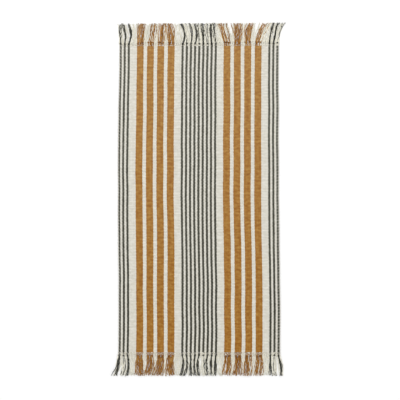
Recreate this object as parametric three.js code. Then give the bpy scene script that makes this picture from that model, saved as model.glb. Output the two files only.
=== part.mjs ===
// A flat-woven cotton bath mat with a knotted fringe at both ends, lying flat.
// Millimetres, +Z up. The origin is the middle of the underside, X runs across the mat and
// +Y runs along it to the head end. The cloth is warp-faced: its stripes run along Y, and
// each stripe's warp yarns leave the cloth past the header row as one tassel of the fringe.
import * as THREE from 'three';

// Overall sizes.
const MAT_WIDTH = 506; // over both selvedge cords
const WOVEN_LENGTH = 964; // over both header rows, without the fringe
const FRINGE_LENGTH = 68; // the longest tassel's tip, past the outside of the header row
const CLOTH_THICKNESS = 3.6;

// The cords that bind the cloth's four edges.
const SELVEDGE_RADIUS = 1.6;
const HEADER_RADIUS = 1.5;
const CORD_SIDES = 12;

// The cloth thins towards its last weft picks, beside each header row.
const THIN_END_THICKNESS = 0.8;
const THIN_END_LENGTH = 2.6;

// The stripes, as groups of equal slots across the mat. One slot feeds one tassel, and two
// wide cream bands on each side take up the width that the other groups leave.
const CENTRE_STRIPES = 9;
const CENTRE_PITCH = 12.95;
const MUSTARD_STRIPES = 4;
const MUSTARD_PITCH = 32.5;
const EDGE_STRIPES = 3;
const EDGE_PITCH = 12.7;
const LAST_STRIPE_INSET = 6.9; // the outermost charcoal stripe's centre, in from the edge

// The tassels.
const TASSEL_THICKNESS = 2.8;
const NECK_SHARE = 0.66; // the knotted neck's width, as a share of the tassel's slot
const NECK_LENGTH = 14; // from the root until the tassel has its full width
const TASSEL_STEPS = 6; // outline steps along each side
const TIP_LENGTH = 5; // the tip narrows over this length
const TRIM = 6; // the shortest tassel is this much shorter than the longest
const TRIM_WAVES = 11; // how often the trimmed length rises and falls across the mat
const WAVE = 1.2; // how far the yarns sway to each side along their length
const LEAN_POWER = 1.25; // a lean grows faster towards the tips

const FIT_GAP = 0.3; // between pieces that touch
const TASSEL_GAP = 1.2; // between neighbouring tassels

// How far the tassels' tips lean sideways, as [place across the mat, lean]. The place runs
// from -1 to 1 in the end's own frame, which looks outwards along its own +Y.
const HEAD_LEANS = [
  [-1, 0], [-0.86, -2], [-0.6, 7], [-0.3, 0], [0, -4], [0.22, -7],
  [0.34, -11], [0.48, 0], [0.62, 12], [0.76, 20], [1, 20],
];
const FOOT_LEANS = [
  [-1, -6], [-0.86, -2], [-0.7, 3], [-0.5, 3], [-0.3, 5], [0, 1],
  [0.5, 2], [0.84, 1], [0.94, 8], [0.99, 20], [1, 20],
];

const FINISHES = {
  cream: { color: 0xdddbd0, roughness: 0.95 },
  mustard: { color: 0xa5763b, roughness: 0.95 },
  charcoal: { color: 0x44443b, roughness: 0.95 },
};

// Each header row is centred on the line that its fringe turns about.
const headerLineY = WOVEN_LENGTH / 2 - HEADER_RADIUS;
const clothHalfLength = headerLineY - HEADER_RADIUS - FIT_GAP;
const clothWidth = MAT_WIDTH - 2 * (2 * SELVEDGE_RADIUS + FIT_GAP);
const middleZ = CLOTH_THICKNESS / 2;

function namedMesh(name, geometry, finish) {
  const { color, roughness } = FINISHES[finish];
  const material = new THREE.MeshStandardMaterial({ color, roughness, metalness: 0 });
  const mesh = new THREE.Mesh(geometry, material);
  mesh.name = name;
  return mesh;
}

function extruded(shape, depth) {
  const options = { depth, steps: 1, bevelEnabled: false, curveSegments: CORD_SIDES };
  return new THREE.ExtrudeGeometry(shape, options);
}

// The cloth is one piece: its long section, thinner at both ends, drawn across the mat.
function wovenCloth() {
  const fullY = clothHalfLength - THIN_END_LENGTH;
  const halfEnd = THIN_END_THICKNESS / 2;
  const section = new THREE.Shape([
    new THREE.Vector2(-clothHalfLength, -halfEnd),
    new THREE.Vector2(-fullY, -middleZ),
    new THREE.Vector2(fullY, -middleZ),
    new THREE.Vector2(clothHalfLength, -halfEnd),
    new THREE.Vector2(clothHalfLength, halfEnd),
    new THREE.Vector2(fullY, middleZ),
    new THREE.Vector2(-fullY, middleZ),
    new THREE.Vector2(-clothHalfLength, halfEnd),
  ]);
  const mesh = namedMesh('woven_cloth', extruded(section, clothWidth), 'cream');
  // A third of a turn about the cube's diagonal: the section's X becomes Y and its depth X.
  mesh.quaternion.setFromAxisAngle(new THREE.Vector3(1, 1, 1).normalize(), (2 * Math.PI) / 3);
  mesh.position.set(-clothWidth / 2, 0, middleZ);
  return mesh;
}

function roundSection(radius) {
  const section = new THREE.Shape();
  section.absarc(0, 0, radius, 0, 2 * Math.PI, false);
  return section;
}

// The outermost warp cord of one side, which the weft turns around. It is as long as the cloth.
function selvedgeCord(name, side) {
  const cord = extruded(roundSection(SELVEDGE_RADIUS), 2 * clothHalfLength);
  const mesh = namedMesh(name, cord, 'cream');
  mesh.rotation.x = -Math.PI / 2;
  mesh.position.set(side * (MAT_WIDTH / 2 - SELVEDGE_RADIUS), -clothHalfLength, middleZ);
  return mesh;
}

// The twined cord that locks the last pick, over the mat's full width.
function headerRow(name) {
  const cord = extruded(roundSection(HEADER_RADIUS), MAT_WIDTH);
  const mesh = namedMesh(name, cord, 'cream');
  mesh.rotation.y = Math.PI / 2;
  mesh.position.set(-MAT_WIDTH / 2, headerLineY, middleZ);
  return mesh;
}

// The slots across the mat from -X to +X, each as { from, to, finish }.
function tasselSlots() {
  const centreHalf = (CENTRE_STRIPES * CENTRE_PITCH) / 2;
  const mustardGroup = MUSTARD_STRIPES * MUSTARD_PITCH;
  const edgeGroup = (EDGE_STRIPES - 0.5) * EDGE_PITCH + LAST_STRIPE_INSET;
  const creamBand = (MAT_WIDTH / 2 - centreHalf - mustardGroup - edgeGroup) / 2;
  const outwards = [{ finish: 'cream', width: creamBand }];
  for (let i = 0; i < MUSTARD_STRIPES; i += 1) {
    outwards.push({ finish: 'mustard', width: MUSTARD_PITCH });
  }
  outwards.push({ finish: 'cream', width: creamBand });
  for (let i = 1; i < EDGE_STRIPES; i += 1) {
    outwards.push({ finish: 'charcoal', width: EDGE_PITCH });
  }
  outwards.push({ finish: 'charcoal', width: EDGE_PITCH / 2 + LAST_STRIPE_INSET });

  const centre = Array(CENTRE_STRIPES).fill({ finish: 'charcoal', width: CENTRE_PITCH });
  const slots = [];
  let from = -MAT_WIDTH / 2;
  for (const { finish, width } of [...outwards.toReversed(), ...centre, ...outwards]) {
    slots.push({ from, to: from + width, finish });
    from += width;
  }
  return slots;
}

// The sideways lean of a tip at x, between the listed leans.
function leanAt(x, leans) {
  const place = THREE.MathUtils.clamp(x / (MAT_WIDTH / 2), -1, 1);
  const next = Math.max(1, leans.findIndex(([listed]) => listed >= place));
  const [before, leanBefore] = leans[next - 1];
  const [after, leanAfter] = leans[next];
  return THREE.MathUtils.mapLinear(place, before, after, leanBefore, leanAfter);
}

// Where a yarn that leaves the cloth at x lies, reach millimetres past the header row.
function yarnX(x, reach, leans) {
  const share = reach / FRINGE_LENGTH;
  const sway = WAVE * Math.sin(2 * Math.PI * share);
  return x + leanAt(x, leans) * share ** LEAN_POWER + sway;
}

// One tassel: the flat outline of its yarns, seen from above, with a narrow knotted neck.
// Its frame starts at the outside of the header row, with its length along +Y.
function tasselGeometry(slot, length, leans) {
  const middle = (slot.from + slot.to) / 2;
  const fullHalf = (slot.to - slot.from - TASSEL_GAP) / 2;
  const left = [];
  const right = [];
  for (let i = 0; i <= TASSEL_STEPS; i += 1) {
    const reach = FIT_GAP + ((length - TIP_LENGTH - FIT_GAP) * i) / TASSEL_STEPS;
    const neck = THREE.MathUtils.smoothstep(reach, 0, NECK_LENGTH);
    const half = fullHalf * THREE.MathUtils.lerp(NECK_SHARE, 1, neck);
    left.push(new THREE.Vector2(yarnX(middle - half, reach, leans), reach));
    right.push(new THREE.Vector2(yarnX(middle + half, reach, leans), reach));
  }
  const tipHalf = fullHalf / 2;
  const tip = [
    new THREE.Vector2(yarnX(middle + tipHalf, length, leans), length),
    new THREE.Vector2(yarnX(middle - tipHalf, length, leans), length),
  ];
  const outline = new THREE.Shape([...right, ...tip, ...left.toReversed()]);
  return extruded(outline, TASSEL_THICKNESS);
}

// All that one end carries past the cloth, in that end's own frame: the header row and the
// tassels. The foot end's frame is turned half a turn, so its tassels are numbered backwards.
function endGroup(end, leans, turned) {
  const group = new THREE.Group();
  group.add(headerRow(`${end}_header_row`));
  const slots = tasselSlots();
  const last = slots.length - 1;
  slots.forEach((slot, i) => {
    const trimmed = TRIM * Math.abs(Math.sin((Math.PI * TRIM_WAVES * i) / last));
    const number = String((turned ? last - i : i) + 1).padStart(2, '0');
    const name = `${end}_tassel_${number}_${slot.finish}`;
    const geometry = tasselGeometry(slot, FRINGE_LENGTH - trimmed, leans);
    const mesh = namedMesh(name, geometry, slot.finish);
    mesh.position.y = WOVEN_LENGTH / 2;
    group.add(mesh);
  });
  group.rotation.z = turned ? Math.PI : 0;
  return group;
}

const mat = new THREE.Group();
mat.add(wovenCloth());
mat.add(selvedgeCord('selvedge_cord_left', -1));
mat.add(selvedgeCord('selvedge_cord_right', 1));
mat.add(endGroup('head', HEAD_LEANS, false));
mat.add(endGroup('foot', FOOT_LEANS, true));

export default mat;
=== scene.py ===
"""A flat-woven, striped cotton bath mat with a knotted fringe at both ends, lying on a pale floor."""

import math
import random

import bmesh
import bpy
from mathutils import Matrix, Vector, noise


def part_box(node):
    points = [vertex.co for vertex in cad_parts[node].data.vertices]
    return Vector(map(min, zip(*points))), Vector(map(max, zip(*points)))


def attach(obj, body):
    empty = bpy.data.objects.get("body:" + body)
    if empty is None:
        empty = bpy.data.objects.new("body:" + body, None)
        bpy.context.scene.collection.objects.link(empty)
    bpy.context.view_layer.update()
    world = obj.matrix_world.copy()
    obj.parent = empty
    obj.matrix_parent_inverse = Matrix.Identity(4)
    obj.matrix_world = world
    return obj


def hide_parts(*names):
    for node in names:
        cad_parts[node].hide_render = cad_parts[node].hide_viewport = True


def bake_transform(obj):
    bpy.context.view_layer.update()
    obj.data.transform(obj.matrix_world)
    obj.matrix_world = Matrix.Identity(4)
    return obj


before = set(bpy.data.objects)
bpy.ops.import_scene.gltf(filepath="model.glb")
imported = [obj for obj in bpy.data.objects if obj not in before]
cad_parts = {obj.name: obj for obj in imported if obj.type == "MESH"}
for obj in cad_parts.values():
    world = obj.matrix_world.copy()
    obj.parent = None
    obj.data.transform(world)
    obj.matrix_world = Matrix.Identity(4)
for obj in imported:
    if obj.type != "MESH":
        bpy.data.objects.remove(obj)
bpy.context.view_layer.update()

# ---------------------------------------------------------------------------------------------
# The woven cloth: thick cotton warp ends in cream, mustard and charcoal, packed so closely that
# they hide the cream weft. Each weft pick shows as a rib across the mat. It is one weave, so the
# stripes are yarn colours, and it has no hem and no backing.
# ---------------------------------------------------------------------------------------------
MM = 0.001
row_low, row_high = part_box("head_header_row")
HALF_WIDTH = row_high[0]
HEADER_Y = (row_low[1] + row_high[1]) / 2
HEADER_Z = (row_low[2] + row_high[2]) / 2

CREAM = (0.70, 0.675, 0.60)
MUSTARD = (0.372, 0.176, 0.032)
CHARCOAL = (0.066, 0.066, 0.049)

# The stripes of one half of the mat are in three groups, each with the place of its first stripe's
# centre, its pitch, its stripes' width and how many there are. The first group lies on the middle.
CHARCOAL_WIDE = 6.9 * MM
MUSTARD_WIDE = 21.6 * MM
CENTRE_GROUP = (0.0, 12.95 * MM, CHARCOAL_WIDE, 5)
MUSTARD_GROUP = (87.6 * MM, 32.5 * MM, MUSTARD_WIDE, 4)
SIDE_GROUP = (220.9 * MM, 13.1 * MM, CHARCOAL_WIDE, 3)
LEFT_OUT = 1.2 * MM  # the left side's stripes lie this much further out than the right side's

END_PITCH = 1.95 * MM  # one warp end
PICKS = 200
FOOT_END, HEAD_END = -476.4 * MM, 479.1 * MM
PICK_PITCH = (HEAD_END - FOOT_END) / PICKS
CLOTH_HALF_WIDE = 250.4 * MM
THICK = 1.8 * MM  # half the cloth's thickness, at the top of a rib
GROOVE = 0.62 * MM  # how deep the groove is between two picks
SLUB = 0.35  # how much a slub in the weft adds to a rib or takes from it
RIB_SWAY = 0.9  # how far a rib strays along the mat, mm
STRAIGHT_END = 12 * MM  # it strays less where an end is nearer than this
FLOOR_GAP = 0.02 * MM  # the ribs underneath press flat on the floor
# The rounded side, as (how far in from the edge in mm, share of the full thickness).
SIDE_ROUNDING = ((0.0, 0.25), (0.25, 0.62), (0.9, 0.9), (2.4, 1.0))
END_ROUNDING = 1.6 * MM  # the ends are rounded over this length

# How the mat lies, in mm: to the right at both ends, and bellied out there in the foot half.
TO_THE_RIGHT, BOW, FOOT_BELLY = -0.5, 2.8, 2.0
# How much wider each half lies at its edge: everywhere, further towards the head, and further at
# both ends, where below zero is narrower. The inner stripes lie further out than that.
EDGE_SPREAD, HEAD_SPREAD, END_SPREAD, INNER_SPREAD = -1.6, -1.9, -0.4, 2.4
WANDER = 1.3  # how far a stripe strays sideways
HEAD_SKEW = 1.5  # the head end runs aslant: its right corner lies out by this, its left one in
SWELL = 1.1  # about how far the cloth lifts off the floor where it isn't quite flat
SETTLE_LENGTH = 18 * MM  # past the header rows the yarns settle on the floor over this length


def laid(x, y, z):
    """Where a point of the straight, square mat lies: its outline bows and spreads a little."""
    along = max(-1, min(1, y / HEADER_Y))
    across = x / HALF_WIDTH
    belly = max(0, -math.sin(math.pi * along)) ** 0.7
    bow = (TO_THE_RIGHT + BOW * along * along + FOOT_BELLY * belly) * MM
    spread = (EDGE_SPREAD + HEAD_SPREAD * along + END_SPREAD * along * along) * across * MM
    spread += INNER_SPREAD * across * (1 - min(1, across ** 4)) * MM
    held_y = along * HEADER_Y
    wander = noise.noise(Vector((x * 9, held_y * 11, 0.5))) * WANDER * MM
    skew = HEAD_SKEW * across * max(0, along) ** 3 * MM
    away = max(0, abs(y) - HEADER_Y)
    settle = max(0, 1 - away / SETTLE_LENGTH)
    swell = max(0, 0.45 + noise.noise(Vector((x * 6, held_y * 5, 7.5)))) * SWELL * MM * settle
    return Vector((x + bow + spread + wander, y + skew, z + swell))


def rib(phase):
    """The height of a rib's surface across one pick, from 0 in the groove to 1 at its top."""
    return math.sin(math.pi * phase) ** 0.7


INNER_COLUMNS = 52
ROWS_PER_PICK = 4
across_mat = [(-CLOTH_HALF_WIDE + inset * MM, share) for inset, share in SIDE_ROUNDING]
inner_half = CLOTH_HALF_WIDE - 6 * MM
for column in range(INNER_COLUMNS + 1):
    across_mat.append((-inner_half + 2 * inner_half * column / INNER_COLUMNS, 1.0))
across_mat += [(CLOTH_HALF_WIDE - inset * MM, share) for inset, share in reversed(SIDE_ROUNDING)]

rows = PICKS * ROWS_PER_PICK
columns = len(across_mat) - 1
weave = bmesh.new()
bmesh.ops.create_grid(weave, x_segments=columns, y_segments=rows, size=1)
nominal = weave.verts.layers.float_vector.new("weave")
bake_map = weave.loops.layers.uv.new("OFBake")
for vertex in weave.verts:
    x, rounding = across_mat[round((vertex.co.x + 1) / 2 * columns)]
    row = round((vertex.co.y + 1) / 2 * rows)
    y = FOOT_END + (HEAD_END - FOOT_END) * row / rows
    vertex[nominal] = (x, y, rounding)
under = bmesh.ops.duplicate(weave, geom=weave.verts[:] + weave.edges[:] + weave.faces[:])["geom"]
under_faces = [part for part in under if isinstance(part, bmesh.types.BMFace)]
under_verts = {part for part in under if isinstance(part, bmesh.types.BMVert)}
bmesh.ops.reverse_faces(weave, faces=under_faces)
# The bake map holds the top in its left half and the underside in its right half, and the thin
# walls between them lie just outside the top.
for face in weave.faces:
    side = 0.5 if face.verts[0] in under_verts else 0.0
    for loop in face.loops:
        x, y, rounding = loop.vert[nominal]
        u = 0.5 + 0.48 * x / CLOTH_HALF_WIDE
        v = 0.5 + 0.49 * y / HEAD_END
        loop[bake_map].uv = (side + u / 2, v)
open_edges = [edge for edge in weave.edges if edge.is_boundary]
walls = bmesh.ops.bridge_loops(weave, edges=open_edges)["faces"]
for face in walls:
    for loop in face.loops:
        x, y, rounding = loop.vert[nominal]
        out = 1.012 if loop.vert in under_verts else 1.0
        u = 0.25 + 0.24 * out * x / CLOTH_HALF_WIDE
        v = 0.5 + 0.49 * out * y / HEAD_END
        loop[bake_map].uv = (u, v)
for vertex in weave.verts:
    x, y, rounding = vertex[nominal]
    pick = (y - FOOT_END) / PICK_PITCH
    near = round(pick)
    phase = pick % 1
    number = math.floor(pick)
    slub = noise.noise(Vector((x * 16, number * 1.7, 2.5)))
    height = THICK - GROOVE * (1 - rib(phase) * (1 + SLUB * slub))
    to_end = min(HEAD_END - y, y - FOOT_END)
    end_rounding = min(1, 0.5 + 0.5 * math.sqrt(max(0, to_end) / END_ROUNDING))
    height *= rounding * end_rounding
    sway = noise.noise(Vector((x * 13, near * 0.9, 5.5))) * RIB_SWAY * MM
    sway *= min(1, to_end / STRAIGHT_END)
    z = HEADER_Z + (-height if vertex in under_verts else height)
    vertex.co = laid(x, y + sway, z)
    vertex.co.z = max(vertex.co.z, FLOOR_GAP)
    vertex[nominal] = (x, y, 0)
for face in weave.faces:
    face.smooth = True
bmesh.ops.recalc_face_normals(weave, faces=weave.faces)


def finished(name, shape, materials):
    """Makes the piece from a shape that is in its place, and drops the shape."""
    data = bpy.data.meshes.new(name)
    shape.to_mesh(data)
    shape.free()
    for material in materials:
        data.materials.append(material)
    piece = bpy.data.objects.new(name, data)
    bpy.context.scene.collection.objects.link(piece)
    return piece


def dyed_cotton(name):
    """A matt cotton with a soft sheen; returns the material, its nodes and its shader."""
    material = bpy.data.materials.new(name)
    material.use_nodes = True
    tree = material.node_tree
    shader = tree.nodes["Principled BSDF"]
    shader.inputs["Specular IOR Level"].default_value = 0.15
    shader.inputs["Sheen Weight"].default_value = 0.06
    shader.inputs["Sheen Roughness"].default_value = 0.6
    return material, tree, shader


def put(tree, kind, *links, **values):
    """Adds a node, with links into its sockets in order and values set on sockets or settings."""
    node = tree.nodes.new("ShaderNode" + kind)
    for key, value in values.items():
        if key.startswith("in_"):
            node.inputs[int(key[3:])].default_value = value
        else:
            setattr(node, key, value)
    for index, source in enumerate(links):
        if source is not None:
            tree.links.new(source, node.inputs[index])
    return node


def maths(tree, operation, first, second=None, third=None):
    """One Math node on sockets or plain numbers; returns its result."""
    node = tree.nodes.new("ShaderNodeMath")
    node.operation = operation
    for index, value in enumerate((first, second, third)):
        if value is None:
            continue
        if isinstance(value, (int, float)):
            node.inputs[index].default_value = value
        else:
            tree.links.new(value, node.inputs[index])
    return node.outputs[0]


def tinted(tree, colour, factor):
    """The colour made lighter or darker by a factor that varies over the surface."""
    node = tree.nodes.new("ShaderNodeVectorMath")
    node.operation = "SCALE"
    tree.links.new(colour, node.inputs[0])
    tree.links.new(factor, node.inputs["Scale"])
    return node.outputs[0]


def mingled(tree, share, first, second):
    """A mix of two colours by a share that varies over the surface."""
    node = tree.nodes.new("ShaderNodeMix")
    node.data_type = "RGBA"
    tree.links.new(share, node.inputs[0])
    tree.links.new(first, node.inputs[6])
    if isinstance(second, tuple):
        node.inputs[7].default_value = (*second, 1)
    else:
        tree.links.new(second, node.inputs[7])
    return node.outputs[2]


FIBRE_PITCH_ACROSS, FIBRE_PITCH_ALONG = 0.75 * MM, 0.95 * MM
RAGGED = 1.3 * MM  # how much the stripes' edges waver
STEP = 0.25 * MM  # how far they step in and out with the weave
striped, tree, shader = dyed_cotton("striped_cloth")
place = put(tree, "Attribute", attribute_name="weave").outputs["Vector"]
split = put(tree, "SeparateXYZ", place)
x, y = split.outputs[0], split.outputs[1]
picks_along = maths(tree, "DIVIDE", maths(tree, "SUBTRACT", y, FOOT_END), PICK_PITCH)
ends_across = maths(tree, "DIVIDE", x, END_PITCH)
# Which ends lie over a pick and which under: the two swap from one pick to the next.
over_pick = maths(tree, "SINE", maths(tree, "MULTIPLY", picks_along, math.pi))
over_end = maths(tree, "SINE", maths(tree, "MULTIPLY", ends_across, math.pi))
floats = maths(tree, "MULTIPLY", over_pick, over_end)
end_ridge = maths(tree, "POWER", maths(tree, "ABSOLUTE", over_end), 0.5)
# The fibres of each end run aslant, because it is spun.
slant_across = maths(tree, "DIVIDE", x, FIBRE_PITCH_ACROSS)
slant = maths(tree, "ADD", slant_across, maths(tree, "DIVIDE", y, FIBRE_PITCH_ALONG))
spun = maths(tree, "SINE", maths(tree, "MULTIPLY", slant, 2 * math.pi))
# The stripes' edges step in and out with the floats and waver a little.
grain = put(tree, "Mapping", place, in_3=(260, 90, 1))
waver = put(tree, "TexNoise", grain.outputs[0], in_2=1.0, in_3=2.0)
ragged = maths(tree, "MULTIPLY_ADD", maths(tree, "SUBTRACT", waver.outputs[0], 0.5), RAGGED, x)
stepped = maths(tree, "MULTIPLY_ADD", over_pick, STEP, maths(tree, "ABSOLUTE", ragged))


def in_group(tree, across, group):
    """1 where a place across the mat is in one of the group's stripes, and 0 elsewhere."""
    first, pitch, wide, count = group
    off_centre = maths(tree, "PINGPONG", maths(tree, "SUBTRACT", across, first), pitch / 2)
    within = maths(tree, "LESS_THAN", across, first + (count - 0.5) * pitch)
    within = maths(tree, "MULTIPLY", within, maths(tree, "GREATER_THAN", across, first - pitch / 2))
    return maths(tree, "MULTIPLY", within, maths(tree, "LESS_THAN", off_centre, wide / 2))


is_mustard = in_group(tree, stepped, MUSTARD_GROUP)
is_charcoal = in_group(tree, stepped, CENTRE_GROUP)
on_left = maths(tree, "LESS_THAN", x, 0.0)
side_place = maths(tree, "MULTIPLY_ADD", on_left, -LEFT_OUT, stepped)
is_charcoal = maths(tree, "ADD", is_charcoal, in_group(tree, side_place, SIDE_GROUP))
warp = put(tree, "Mix", is_mustard, data_type="RGBA", in_6=(*CREAM, 1), in_7=(*MUSTARD, 1))
warp = mingled(tree, is_charcoal, warp.outputs[2], CHARCOAL)
# Each warp end has its own depth of dye, which changes slowly along it. Deeper dye is darker and
# stronger in colour, and the cream hardly changes. The colour is also painted a little darker
# towards the foot end: painted shade, for the light that falls off away from the head end.
END_DYE, PATCH_DYE, FOOT_PAINTED_SHADE, LEAST_DYE = 0.36, 0.96, -0.09, 0.39
end_space = put(tree, "Mapping", place, in_3=(420, 5, 1))
end_dye = put(tree, "TexNoise", end_space.outputs[0], in_2=1.0, in_3=1.0)
patch_space = put(tree, "Mapping", place, in_3=(75, 130, 1))
patch_dye = put(tree, "TexNoise", patch_space.outputs[0], in_2=1.0, in_3=2.0)
dye = maths(tree, "MULTIPLY_ADD", end_dye.outputs[0], END_DYE, LEAST_DYE)
dye = maths(tree, "MULTIPLY_ADD", patch_dye.outputs[0], PATCH_DYE, dye)
# Painted shade: darker towards the foot end.
dye = maths(tree, "MULTIPLY_ADD", y, FOOT_PAINTED_SHADE, dye)
dyed = put(tree, "Gamma", warp, dye)
# Painted light and shade: each pick is a little thicker or thinner along the way, and its rib is
# painted lighter or darker for it. The floats are painted lighter, and the grooves between the
# ribs, between the ends and between their fibres are painted darker, as painted shade.
PICK_PAINTED_LIGHT, FLOAT_PAINTED_LIGHT, GROOVE_PAINTED_SHADE, END_GROOVE_PAINTED_SHADE, FIBRE_GROOVE_PAINTED_SHADE = 0.26, 0.07, 0.26, 0.16, 0.025
pick_space = put(tree, "Mapping", place, in_3=(24, 190, 1))
pick_painted_light_noise = put(tree, "TexNoise", pick_space.outputs[0], in_2=1.0, in_3=2.0)
painted_light_and_shade = maths(tree, "MULTIPLY_ADD", pick_painted_light_noise.outputs[0], PICK_PAINTED_LIGHT, 0.87)
ribs_and_floats_painted_light = maths(tree, "MULTIPLY_ADD", floats, FLOAT_PAINTED_LIGHT, painted_light_and_shade)
ridge = maths(tree, "POWER", maths(tree, "ABSOLUTE", over_pick), 0.6)
# Painted shade in the grooves between the ribs, the ends and the fibres.
shaded = maths(tree, "MULTIPLY", ribs_and_floats_painted_light, maths(tree, "MULTIPLY_ADD", ridge, GROOVE_PAINTED_SHADE, 0.80))
shaded = maths(tree, "MULTIPLY", shaded, maths(tree, "MULTIPLY_ADD", end_ridge, END_GROOVE_PAINTED_SHADE, 0.90))
shaded = maths(tree, "MULTIPLY", shaded, maths(tree, "MULTIPLY_ADD", spun, FIBRE_GROOVE_PAINTED_SHADE, 1.0))
yarn_colour_with_painted_shade = tinted(tree, dyed.outputs[0], shaded)
# The weft turns back round the outermost ends at every second pick, and there its cream shows
# between the charcoal ends, most of all on the right. Elsewhere only specks of it show, at the
# bottom of the grooves.
TURNS_FROM = 241.5 * MM
RIGHT_TURNS, TURNS_SHOW, SPECKS_SHOW = 3.0, 0.8, 0.35
fleck_space = put(tree, "Mapping", place, in_3=(330, 160, 1))
fleck = put(tree, "TexNoise", fleck_space.outputs[0], in_2=1.0, in_3=1.0)
second = maths(tree, "COSINE", maths(tree, "MULTIPLY", picks_along, math.pi))
second = maths(tree, "POWER", maths(tree, "MULTIPLY_ADD", second, 0.5, 0.5), 9)
outermost = maths(tree, "GREATER_THAN", maths(tree, "ABSOLUTE", x), TURNS_FROM)
turns_show = maths(tree, "MULTIPLY_ADD", x, RIGHT_TURNS, TURNS_SHOW)
turned = maths(tree, "MULTIPLY", outermost, turns_show)
turned = maths(tree, "MULTIPLY", turned, maths(tree, "SUBTRACT", 1.3, end_ridge))
turned = maths(tree, "MULTIPLY", second, turned)
specks = maths(tree, "MULTIPLY", maths(tree, "SUBTRACT", 0.55, ridge), SPECKS_SHOW)
weft_and_painted_haze = maths(tree, "MULTIPLY", maths(tree, "MAXIMUM", turned, specks), fleck.outputs[0])
weft_and_painted_haze = maths(tree, "MINIMUM", maths(tree, "MAXIMUM", weft_and_painted_haze, 0.0), 0.9)
weft_and_painted_haze = maths(tree, "MULTIPLY", weft_and_painted_haze, is_charcoal)
# Painted light: the cloth is painted paler, towards cream, from nothing near the foot end to most
# at the head end, for the haze of the bright window there.
HEAD_PAINTED_HAZE, MIDDLE_PAINTED_HAZE = 0.045, 0.02
painted_haze_to_head = maths(tree, "MULTIPLY_ADD", y, HEAD_PAINTED_HAZE, MIDDLE_PAINTED_HAZE)
weft_and_painted_haze = maths(tree, "ADD", weft_and_painted_haze, maths(tree, "MAXIMUM", painted_haze_to_head, 0.0))
colour = mingled(tree, weft_and_painted_haze, yarn_colour_with_painted_shade, CREAM)
tree.links.new(colour, shader.inputs["Base Color"])
# The fine relief: floats, fuzz, spun fibres, and the round back of each end.
FUZZ_RELIEF, FIBRE_RELIEF, END_RELIEF = 0.5, 0.12, 1.1
fibre = put(tree, "TexNoise", place, in_2=2600.0, in_3=2.0)
relief = maths(tree, "MULTIPLY_ADD", fibre.outputs[0], FUZZ_RELIEF, floats)
relief = maths(tree, "MULTIPLY_ADD", spun, FIBRE_RELIEF, relief)
relief = maths(tree, "MULTIPLY_ADD", end_ridge, END_RELIEF, relief)
bump = put(tree, "Bump", in_0=0.7, in_1=0.0004)
tree.links.new(relief, bump.inputs["Height"])
tree.links.new(bump.outputs[0], shader.inputs["Normal"])
rough = maths(tree, "MULTIPLY_ADD", fibre.outputs[0], 0.2, 0.82)
tree.links.new(rough, shader.inputs["Roughness"])

cloth = finished("cloth_weave", weave, [striped])
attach(cloth, "mat")
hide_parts("woven_cloth")

# ---------------------------------------------------------------------------------------------
# The selvedges: at each side the outermost warp is a cord of two cream yarns, and every second
# pick the weft turns round it and the outer ends. The turns show as pale dots down the side.
# ---------------------------------------------------------------------------------------------


def spun_yarns(name, finishes):
    """An empty bundle that yarns of these finishes are laid into."""
    bundle = bpy.data.curves.new(name, "CURVE")
    for material in finishes:
        bundle.materials.append(material)
    bundle.dimensions = "3D"
    bundle.bevel_depth = 1.0  # so a point's radius is the yarn's own, in metres
    bundle.bevel_resolution = 1
    bundle.use_fill_caps = True
    return bundle


def lay_yarn(bundle, points, radii, finish=0):
    """Lays one yarn into the bundle, along points that are already in place."""
    yarn = bundle.splines.new("POLY")
    yarn.points.add(len(points) - 1)
    for spot, point, radius in zip(yarn.points, points, radii):
        spot.co = (*point, 1)
        spot.radius = radius
    yarn.material_index = finish


def gathered(bundle):
    """Turns a bundle into one piece: closed yarns, each with a strip of its own for baking."""
    holder = bpy.data.objects.new(bundle.name + "_yarns", bundle)
    bpy.context.scene.collection.objects.link(holder)
    skin = bpy.data.meshes.new_from_object(holder)
    shape = bmesh.new()
    shape.from_mesh(skin)
    name, count = bundle.name, len(bundle.splines)
    finishes = list(bundle.materials)
    bpy.data.objects.remove(holder)
    bpy.data.curves.remove(bundle)
    bpy.data.meshes.remove(skin)
    bmesh.ops.remove_doubles(shape, verts=shape.verts, dist=1e-7)
    along = shape.loops.layers.uv[0]
    strip_map = shape.loops.layers.uv.new("OFBake")
    left = set(shape.faces)
    strip = 0
    for first in shape.faces:
        if first not in left:
            continue
        todo = [first]
        left.discard(first)
        while todo:
            face = todo.pop()
            face.smooth = True
            for loop in face.loops:
                u, v = loop[along].uv
                loop[strip_map].uv = (0.01 + 0.98 * u, (strip + 0.08 + 0.84 * v) / count)
            for edge in face.edges:
                for other in edge.link_faces:
                    if other in left:
                        left.discard(other)
                        todo.append(other)
        strip += 1
    return finished(name, shape, finishes)


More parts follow.
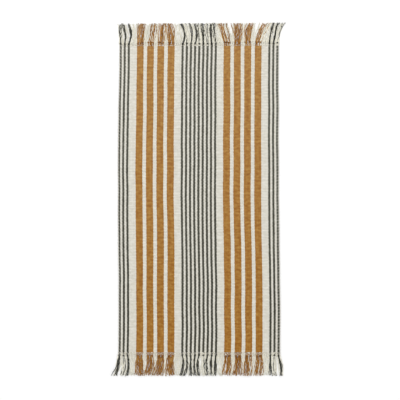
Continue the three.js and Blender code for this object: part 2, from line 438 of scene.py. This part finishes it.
def yarn_cotton(name, colour, turns, worn=0.0, uneven=0.9):
    """Spun cotton of two plies, which turn about each other so many times along the yarn.

    worn is how far its far end has faded to cream, and uneven how much its dye varies.
    """
    material, tree, shader = dyed_cotton(name)
    spun = put(tree, "UVMap", uv_map="UVMap")
    split = put(tree, "SeparateXYZ", spun.outputs[0])
    place = put(tree, "TexCoord").outputs["Object"]
    around = maths(tree, "MULTIPLY", split.outputs[1], 2)
    twist = maths(tree, "MULTIPLY_ADD", split.outputs[0], turns, around)
    plies = maths(tree, "SINE", maths(tree, "MULTIPLY", twist, 2 * math.pi))
    yarn_space = put(tree, "Mapping", place, in_3=(330, 45, 330))
    own_dye = put(tree, "TexNoise", yarn_space.outputs[0], in_2=1.0, in_3=2.0)
    dye = maths(tree, "MULTIPLY_ADD", own_dye.outputs[0], uneven, 1 - uneven / 2)
    # Painted light and shade: the plies are painted lighter on their crowns and darker in the grooves
    # between them.
    painted_light_and_shade = maths(tree, "MULTIPLY_ADD", plies, 0.12, 0.96)
    base = put(tree, "ValToRGB", split.outputs[0])
    pale = tuple(c + (w - c) * worn for c, w in zip(colour, CREAM))
    base.color_ramp.elements[0].position = 0.55
    base.color_ramp.elements[0].color = (*colour, 1)
    base.color_ramp.elements[1].color = (*pale, 1)
    dyed = put(tree, "Gamma", base.outputs[0], dye)
    tree.links.new(tinted(tree, dyed.outputs[0], painted_light_and_shade), shader.inputs["Base Color"])
    fuzz = put(tree, "TexNoise", place, in_2=3000.0, in_3=2.0)
    relief = maths(tree, "MULTIPLY_ADD", fuzz.outputs[0], 0.6, plies)
    bump = put(tree, "Bump", in_0=0.7, in_1=0.0003)
    tree.links.new(relief, bump.inputs["Height"])
    tree.links.new(bump.outputs[0], shader.inputs["Normal"])
    rough = maths(tree, "MULTIPLY_ADD", fuzz.outputs[0], 0.2, 0.82)
    tree.links.new(rough, shader.inputs["Roughness"])
    return material


cord_low, cord_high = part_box("selvedge_cord_right")
SELVEDGE_X = (cord_low[0] + cord_high[0]) / 2
SELVEDGE_TWIST = 9.0 * MM  # one turn of the cord's two yarns
SELVEDGE_ORBIT, SELVEDGE_YARN = 0.55 * MM, 0.7 * MM
SELVEDGE_STEPS = 840
TURN_PITCH = 2 * PICK_PITCH
TURN_CENTRE, TURN_HALF_WIDE = 250.3 * MM, 2.3 * MM
TURN_RISE, TURN_FALL = 1.7 * MM, 1.05 * MM  # over the cord on top, and under it
TURN_YARN = 0.72 * MM
STEPS_PER_TURN = 12
selvedge_yarn = yarn_cotton("selvedge_yarn", CREAM, 240)
for side, sign in (("left", -1), ("right", 1)):
    bundle = spun_yarns(f"selvedge_{side}", [selvedge_yarn])
    for ply in (0, math.pi):
        points = []
        for step in range(SELVEDGE_STEPS + 1):
            y = FOOT_END - 2 * MM + (HEAD_END - FOOT_END + 3 * MM) * step / SELVEDGE_STEPS
            turn = 2 * math.pi * y / SELVEDGE_TWIST + ply
            x = sign * (SELVEDGE_X + SELVEDGE_ORBIT * math.cos(turn))
            points.append(laid(x, y, HEADER_Z + SELVEDGE_ORBIT * math.sin(turn)))
        lay_yarn(bundle, points, [SELVEDGE_YARN] * len(points))
    # The weft crosses the cord square on top and underneath, and climbs at its sides.
    points = []
    for step in range(PICKS // 2 * STEPS_PER_TURN):
        angle = 2 * math.pi * step / STEPS_PER_TURN
        climb = (angle + 0.5 * math.sin(2 * angle)) / (2 * math.pi)
        y = FOOT_END + TURN_PITCH * (climb + 0.75)
        if y > HEAD_END - 3 * MM:
            break
        x = sign * (TURN_CENTRE + TURN_HALF_WIDE * math.cos(angle))
        rise = TURN_RISE if math.sin(angle) > 0 else TURN_FALL
        points.append(laid(x, y, HEADER_Z + rise * math.sin(angle)))
    lay_yarn(bundle, points, [TURN_YARN] * len(points))
    selvedge = gathered(bundle)
    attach(selvedge, "mat")
    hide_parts(f"selvedge_cord_{side}")

# ---------------------------------------------------------------------------------------------
# The header rows: at each end two cream yarns are twined about each other through the warp, to
# lock the last pick. The foot end has a row on each side of that one as well, so it shows as a
# wider pale band.
# ---------------------------------------------------------------------------------------------
HEADER_TWIST = 8.4 * MM
HEADER_ORBIT, HEADER_YARN = 0.62 * MM, 0.84 * MM
HEADER_STEPS = 480
ROW_PITCH = 2.9 * MM
ROW_PHASE = 900  # each row's twist starts elsewhere: radians for each metre from the middle row
# Painted light: the header yarn is painted lighter than the cloth's cream, against the shade between
# the header rows and the yarns past them.
HEADER_CREAM_PAINTED_LIGHT = (0.80, 0.765, 0.68)
header_yarn_painted_light = yarn_cotton("header_yarn_painted_light", HEADER_CREAM_PAINTED_LIGHT, 130)


def bends_with_fringe(piece):
    """Bakes the piece's place into its mesh."""
    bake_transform(piece)


for end, sign, rows_out in (("head", 1, (0,)), ("foot", -1, (-ROW_PITCH, 0, ROW_PITCH))):
    bundle = spun_yarns(f"{end}_row", [header_yarn_painted_light])
    for out in rows_out:
        for ply in (0, math.pi):
            points = []
            for step in range(HEADER_STEPS + 1):
                x = -HALF_WIDTH + 2 * HALF_WIDTH * step / HEADER_STEPS
                turn = 2 * math.pi * x / HEADER_TWIST + ply + out * ROW_PHASE
                y = sign * (HEADER_Y + out + HEADER_ORBIT * math.cos(turn))
                points.append(laid(x, y, HEADER_Z + HEADER_ORBIT * math.sin(turn)))
            lay_yarn(bundle, points, [HEADER_YARN] * len(points))
    header = gathered(bundle)
    bends_with_fringe(header)
    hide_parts(f"{end}_header_row")

# ---------------------------------------------------------------------------------------------
# The fringe: past the header row the warp yarns run on. They are knotted into locks of two to
# eight, and past the knots they lie loose, crimped from the weave, and fray at their cut tips.
# One piece holds the locks of one stripe, or of one wide cream band.
# ---------------------------------------------------------------------------------------------
# Painted light and shade: the fringe is the cloth's own warp yarn, but its cream is painted lighter
# than the cloth's, against the shade between the yarns, and its mustard and charcoal are painted
# darker, as painted shade between the yarns. The mustard's stronger unevenness is partly painted
# shade between the yarns too.
FRINGE_CREAM_PAINTED_LIGHT = (0.86, 0.83, 0.715)
FRINGE_MUSTARD_PAINTED_SHADE = (0.335, 0.148, 0.025)
FRINGE_CHARCOAL_PAINTED_SHADE = (0.042, 0.042, 0.031)
# Painted shade: the knots of mustard locks are painted darker than the mustard yarn.
KNOT_MUSTARD_PAINTED_SHADE = (0.20, 0.08, 0.013)
# Paler mustard yarns: many at the head end and few at the foot end.
PALER_MUSTARD = (0.50, 0.285, 0.115)
FINISHES = [
    yarn_cotton("cream_fringe_painted_light", FRINGE_CREAM_PAINTED_LIGHT, 14),
    yarn_cotton("mustard_fringe_painted_shade", FRINGE_MUSTARD_PAINTED_SHADE, 14, worn=0.02, uneven=1.7),
    yarn_cotton("charcoal_fringe_painted_shade", FRINGE_CHARCOAL_PAINTED_SHADE, 14, worn=0.05),
    yarn_cotton("mustard_knots_painted_shade", KNOT_MUSTARD_PAINTED_SHADE, 6),
    yarn_cotton("paler_mustard", PALER_MUSTARD, 14, uneven=1.2),
]
CREAM_YARN, MUSTARD_YARN, CHARCOAL_YARN, SHADED_KNOT_YARN, PALER_YARN = range(5)
# The share of mustard yarns that are paler, and of mustard locks whose knot is painted darker, as
# painted shade in the knot.
PALER_SHARE = {"head": 0.3, "foot": 0.02}
SHADED_KNOT_SHARE = {"head": 0.4, "foot": 0.9}
# The locks of each kind of tassel: (yarn, how many, centre and width at the root, mm).
LOCKS = {
    "charcoal": [(CREAM_YARN, 2, -4.7, 3.4), (CHARCOAL_YARN, 5, 0, 6.2), (CREAM_YARN, 2, 4.7, 3.4)],
    "cream": [(CREAM_YARN, 3, -3.3, 5.4), (CREAM_YARN, 3, 3.3, 5.4)],
}
# A mustard stripe's fourteen yarns are knotted in two or three locks, with a cream lock on each
# side of them.
MUSTARD_KNOTTINGS = ((7, 7), (5, 4, 5), (8, 6), (6, 8), (5, 5, 4))
BESIDE_MUSTARD = 13.2
INNER_BAND, OUTER_BAND = 64.8, 207.8  # the middles of the wide cream bands, mm


def tassels_of(kind, group, out=0.0):
    """The tassels of one group of stripes on the mat's right half, as (kind, centre in mm)."""
    first, pitch, _, count = group
    return [(kind, (first + pitch * k + out) / MM) for k in range(count)]


INNER_KINDS = tassels_of("charcoal", CENTRE_GROUP) + [("cream", INNER_BAND)]
INNER_KINDS += tassels_of("mustard", MUSTARD_GROUP) + [("cream", OUTER_BAND)]
LEFT_KINDS = INNER_KINDS[1:] + tassels_of("charcoal", SIDE_GROUP, LEFT_OUT)
RIGHT_KINDS = INNER_KINDS + tassels_of("charcoal", SIDE_GROUP)
TASSELS = [(kind, -x) for kind, x in reversed(LEFT_KINDS)] + RIGHT_KINDS
# How each tassel falls, from -X to +X: how far it lies sideways halfway out and at its tip, mm.
FALLS = {
    "head": [
        (0, -2), (0, -3), (5, 0), (2, 0), (3, 3), (4, 9), (1, 2), (-2, -6), (1, 0),
        (6, -3), (1, -4), (4, -1), (3, -3), (1, 0), (-3, -2), (-2, -2), (-2, -2), (-6, -5),
        (-3, -5), (-7, -16), (0, -1), (2, 6), (9, 22), (8, 18), (5, 12), (6, 14), (4, 13),
    ],
    "foot": [
        (-3, -12), (1, -4), (2, -1), (0, 0), (0, 0), (1, -4), (-1, -8), (-3, -1), (0, 0),
        (2, -3), (3, -3), (1, 1), (-2, 2), (-5, 0), (-1, 1), (-2, 0), (-3, -2), (-3, -4),
        (0, 0), (0, -3), (0, -5), (0, -3), (1, -2), (0, 0), (1, 2), (0, 2), (7, 8),
    ],
}
# Single yarns that fall away from their lock, by tassel: (lock, yarn, how far sideways its tip
# lies, mm).
STRAYS = {
    "head": {5: (2, 1, 6), 7: (1, 0, -9), 21: (1, 0, -14), 22: (1, 0, -9), 27: (1, 2, 23)},
    "foot": {1: (1, 0, -23), 6: (1, 0, -9), 8: (1, 0, -7), 20: (1, 0, -12), 23: (1, 0, -8)},
}
# Cream yarns lie mixed in with the coloured ones: their share of each coloured lock, by tassel,
# and in the tassels that aren't listed.
CREAM_SHARE = {
    "head": {
        1: 0.35, 2: 0.2, 3: 0.25, 5: 0.05, 6: 0.2, 7: 0.2, 8: 0.05, 12: 0.3, 14: 0.5,
        20: 0.2, 21: 0.05, 22: 0.05, 23: 0.15, 27: 0.35,
    },
    "foot": {2: 0.25, 6: 0.1, 14: 0.45, 15: 0.4, 20: 0.1, 23: 0.12, 26: 0.25},
}
OTHER_SHARE = {"head": 0.12, "foot": 0.01}
YARN_RADIUS = 1.08 * MM
LAST_ROOT = 250.5 * MM  # no yarn leaves the cloth further out than this
TIP_REACH = 67.0 * MM
CUT_UNEVEN = 1.6  # how unevenly the tips are cut, mm
CUT_SHORT = (0, 0, 0, 3)  # and one yarn in four is 3 mm shorter still
KNOT_REACH = {"charcoal": 5.6 * MM, "cream": 8.0 * MM, "mustard": 9.0 * MM}
KNOT_SPAN = 3.6 * MM  # how long a knot is
KNOT_MIDDLE = 2.3 * MM  # how high its middle lies
KNOT_STEPS, KNOT_STEPS_PER_TURN = 18, 10
IN_KNOT_Z = 2.2 * MM  # how high the yarns lie inside it
OUTWARD_STEPS = 15
TIP_FROM = 0.93  # past this share of a yarn's length it thins out
chance = random.Random(27)


def locks_of(kind):
    """The locks of one tassel, as (yarn, how many, centre and width at the root in mm)."""
    if kind != "mustard":
        return LOCKS[kind]
    locks = [(CREAM_YARN, 3, -BESIDE_MUSTARD, 5.6)]
    from_x = -MUSTARD_WIDE / MM / 2
    knotting = chance.choice(MUSTARD_KNOTTINGS)
    for count in knotting:
        share = MUSTARD_WIDE / MM * count / sum(knotting)
        locks.append((MUSTARD_YARN, count, from_x + share / 2, share - 0.3))
        from_x += share
    return locks + [(CREAM_YARN, 3, BESIDE_MUSTARD, 5.6)]


def fallen(reach_share, halfway, tip):
    """How far sideways a yarn lies at this share of its length."""
    return 4 * halfway * reach_share * (1 - reach_share) + tip * reach_share * (2 * reach_share - 1)


def eased(share):
    """A share from 0 to 1, with a slow start and a slow end."""
    share = max(0, min(1, share))
    return share * share * (3 - 2 * share)


def tie_knot(bundle, centre_x, reach, sign, girth, finish, lean):
    """Nearly two turns of yarn around a lock, thicker round a thicker lock."""
    points, start = [], chance.uniform(0, 6.28)
    for step in range(KNOT_STEPS + 1):
        angle = start + 2 * math.pi * step / KNOT_STEPS_PER_TURN
        y = sign * (HEADER_Y + reach + (step / KNOT_STEPS - 0.5) * KNOT_SPAN)
        x = centre_x + girth * math.cos(angle) + lean * (step / KNOT_STEPS - 0.5)
        z = max(0.46 * girth, KNOT_MIDDLE + 0.72 * girth * math.sin(angle))
        points.append(laid(x, y, z))
    lay_yarn(bundle, points, [0.45 * girth] * len(points), finish)


def tassel(name, kind, centre, end, sign, number):
    """All the locks of one slot, as one piece."""
    bundle = spun_yarns(name, FINISHES)
    halfway, tip = FALLS[end][number - 1]
    stray = STRAYS[end].get(number)
    for lock, (finish, count, offset, wide) in enumerate(locks_of(kind)):
        knot_x = (centre + offset + chance.uniform(-0.5, 0.5)) * MM
        knot_reach = KNOT_REACH[kind] + chance.uniform(-1.0, 1.5) * MM
        lock_half = (halfway + chance.uniform(-1.3, 1.3)) * MM
        lock_tip = (tip + chance.uniform(-2.2, 2.2)) * MM
        # How far apart the lock's yarns lie in the open, and in the knot.
        if finish == CHARCOAL_YARN:
            spacing = chance.choice((0.75, 0.95, 1.2, 1.6)) * MM
            pinch = chance.uniform(0.2, 0.4) * MM
        elif finish == MUSTARD_YARN:
            spacing = chance.uniform(1.0, 1.6) * MM
            pinch = chance.uniform(0.75, 1.3) * MM
        else:
            spacing = chance.uniform(1.3, 2.0) * MM
            pinch = chance.uniform(1.6, 2.0) * MM
        order = list(range(count))
        chance.shuffle(order)
        # Each yarn of the lock, in its place across the root and shuffled past the knot.
        for k in range(count):
            root_x = (centre + offset + wide * ((k + 0.5) / count - 0.5)) * MM
            root_x -= math.copysign(max(0, abs(root_x) - LAST_ROOT) * 1.5, root_x)
            place_out = order[k] - (count - 1) / 2
            half_out = lock_half + place_out * spacing * 0.9
            tip_out = lock_tip + place_out * spacing * chance.uniform(0.9, 1.5)
            if stray and stray[0] == lock and stray[1] == k:
                tip_out = stray[2] * MM
                half_out = tip_out * 0.4
            length = TIP_REACH - abs(chance.gauss(0, CUT_UNEVEN)) * MM
            length -= chance.choice(CUT_SHORT) * MM
            crimp = chance.uniform(0.25, 0.85) * MM
            sway = chance.uniform(0.3, 1.9) * MM
            sway_start = chance.uniform(0, 6.28)
            waves = chance.uniform(3.2, 5.2)
            start = chance.uniform(0, 6.28)
            lift_range = (0, 0.9) if finish == CREAM_YARN else (0.2, 1.9)
            lift = chance.uniform(*lift_range) * MM
            high = YARN_RADIUS * 0.92
            # Out of the cloth's end, over one header row and under the others, as (how far past the
            # header row's middle, how high over it) in mm.
            passes = [1 if (k + number) % 3 == row else -0.55 for row in range(3)]
            if sign > 0:
                route = [(-3.4, 0), (-1.9, passes[0] * 0.8)]
                route += [(0, passes[0] * 1.8), (2.0, passes[0] * 0.6)]
            else:
                route = [(-6.2, 0), (-4.6, passes[1] * 0.7)]
                route += [(-2.9, passes[1] * 1.8), (-1.45, 0), (0, passes[0] * 1.8), (1.45, 0)]
                route += [(2.9, passes[2] * 1.8), (4.3, passes[2] * 0.6)]
            points = []
            radii = []
            for reach, rise in route:
                z = max(high, HEADER_Z + rise * MM)
                points.append(laid(root_x, sign * (HEADER_Y + reach * MM), z))
                radii.append(high)
            for step in range(1, OUTWARD_STEPS + 1):
                share = step / OUTWARD_STEPS
                reach = 2.0 * MM + (length - 2.0 * MM) * share
                into_knot = eased(reach / knot_reach)
                past_knot = max(0, (reach - knot_reach) / (length - knot_reach))
                x = root_x + (knot_x + place_out * pinch - root_x) * into_knot
                x += fallen(past_knot, half_out, tip_out)
                x += crimp * math.sin(start + 2 * math.pi * waves * share) * min(1, past_knot * 5)
                x += sway * math.sin(sway_start + 7.5 * share) * min(1, past_knot * 3)
                z = IN_KNOT_Z + (YARN_RADIUS * 1.08 + lift - IN_KNOT_Z) * eased(past_knot * 2.2)
                z += 0.5 * MM * math.cos(start + 2 * math.pi * waves * share) * past_knot
                thin = 1 if share < TIP_FROM else 0.72
                points.append(laid(x, sign * (HEADER_Y + reach), max(z, YARN_RADIUS * 1.02)))
                radii.append(YARN_RADIUS * thin)
            cream_share = CREAM_SHARE[end].get(number, OTHER_SHARE[end])
            mixed_in = finish != CREAM_YARN and chance.random() < cream_share
            yarn_finish = CREAM_YARN if mixed_in else finish
            if yarn_finish == MUSTARD_YARN and chance.random() < PALER_SHARE[end]:
                yarn_finish = PALER_YARN
            lay_yarn(bundle, points, radii, yarn_finish)
            # The two plies part at the cut tip.
            before, last = points[-2], points[-1]
            for part in (-1, 1):
                apart = part * chance.uniform(0.5, 1.5) * MM
                spread = Vector((apart, 0, chance.uniform(-0.2, 0.5) * MM))
                out = (last - before) * chance.uniform(0.35, 0.85)
                middle = last + out * 0.5 + spread * 0.5
                ply = [before.lerp(last, 0.4), last, middle, last + out + spread]
                for spot in ply:
                    spot.z = max(spot.z, 0.73 * MM)
                lay_yarn(bundle, ply, [0.5 * MM, 0.72 * MM, 0.66 * MM, 0.4 * MM], yarn_finish)
        girth = (1.3 + 0.25 * count) * MM if finish != CREAM_YARN else 1.6 * MM
        # Painted shade: most mustard knots are painted darker.
        knot_painted_shade = finish == MUSTARD_YARN and chance.random() < SHADED_KNOT_SHARE[end]
        knot_finish = SHADED_KNOT_YARN if knot_painted_shade else finish
        tie_knot(bundle, knot_x, knot_reach, sign, girth, knot_finish, lock_half * 0.1)
    piece = gathered(bundle)
    bends_with_fringe(piece)
    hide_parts(f"{end}_tassel_{number:02d}_{kind}")
    return piece


tassels = []
for end, sign in (("head", 1), ("foot", -1)):
    for number, (kind, centre) in enumerate(TASSELS, 1):
        tassels.append(tassel(f"{end}_fringe_{number:02d}_{kind}", kind, centre, end, sign, number))

# ---------------------------------------------------------------------------------------------
# The names of the pieces that lie on the cloth: the selvedges, the header rows and the fringe.
# ---------------------------------------------------------------------------------------------
on_cloth = ["selvedge_left", "selvedge_right", "head_row", "foot_row"]
on_cloth += [piece.name for piece in tassels]

# ---------------------------------------------------------------------------------------------
# The room: a plain white floor, a bright even studio with a broad soft window behind the head
# end, and a camera straight above the mat.
# ---------------------------------------------------------------------------------------------
WINDOW_PLACE = Vector((-0.6, 2.6, 2.2))
EYE_PLACE = (4.7 * MM, -1.6 * MM, 2.947)
ground = bmesh.new()
bmesh.ops.create_grid(ground, x_segments=1, y_segments=1, size=6)
floor_paint, tree, shader = dyed_cotton("floor_paint")
shader.inputs["Roughness"].default_value = 0.9
shader.inputs["Sheen Weight"].default_value = 0
shader.inputs["Base Color"].default_value = (0.96, 0.96, 0.96, 1)
floor = finished("floor", ground, [floor_paint])

world = bpy.data.worlds.new("studio")
world.use_nodes = True
world.node_tree.nodes["Background"].inputs["Color"].default_value = (1.0, 1.0, 1.0, 1)
world.node_tree.nodes["Background"].inputs["Strength"].default_value = 0.985
bpy.context.scene.world = world

window = bpy.data.lights.new("window", "AREA")
window.shape = "RECTANGLE"
window.size, window.size_y = 3.0, 1.6
window.energy = 25
window_object = bpy.data.objects.new("window", window)
bpy.context.scene.collection.objects.link(window_object)
window_object.location = WINDOW_PLACE
window_object.rotation_euler = WINDOW_PLACE.to_track_quat("Z", "Y").to_euler()

eye = bpy.data.cameras.new("eye")
eye.lens, eye.sensor_width = 85, 36
eye_object = bpy.data.objects.new("eye", eye)
bpy.context.scene.collection.objects.link(eye_object)
eye_object.location = EYE_PLACE
bpy.context.scene.camera = eye_object
bpy.context.scene.view_settings.view_transform = "Standard"
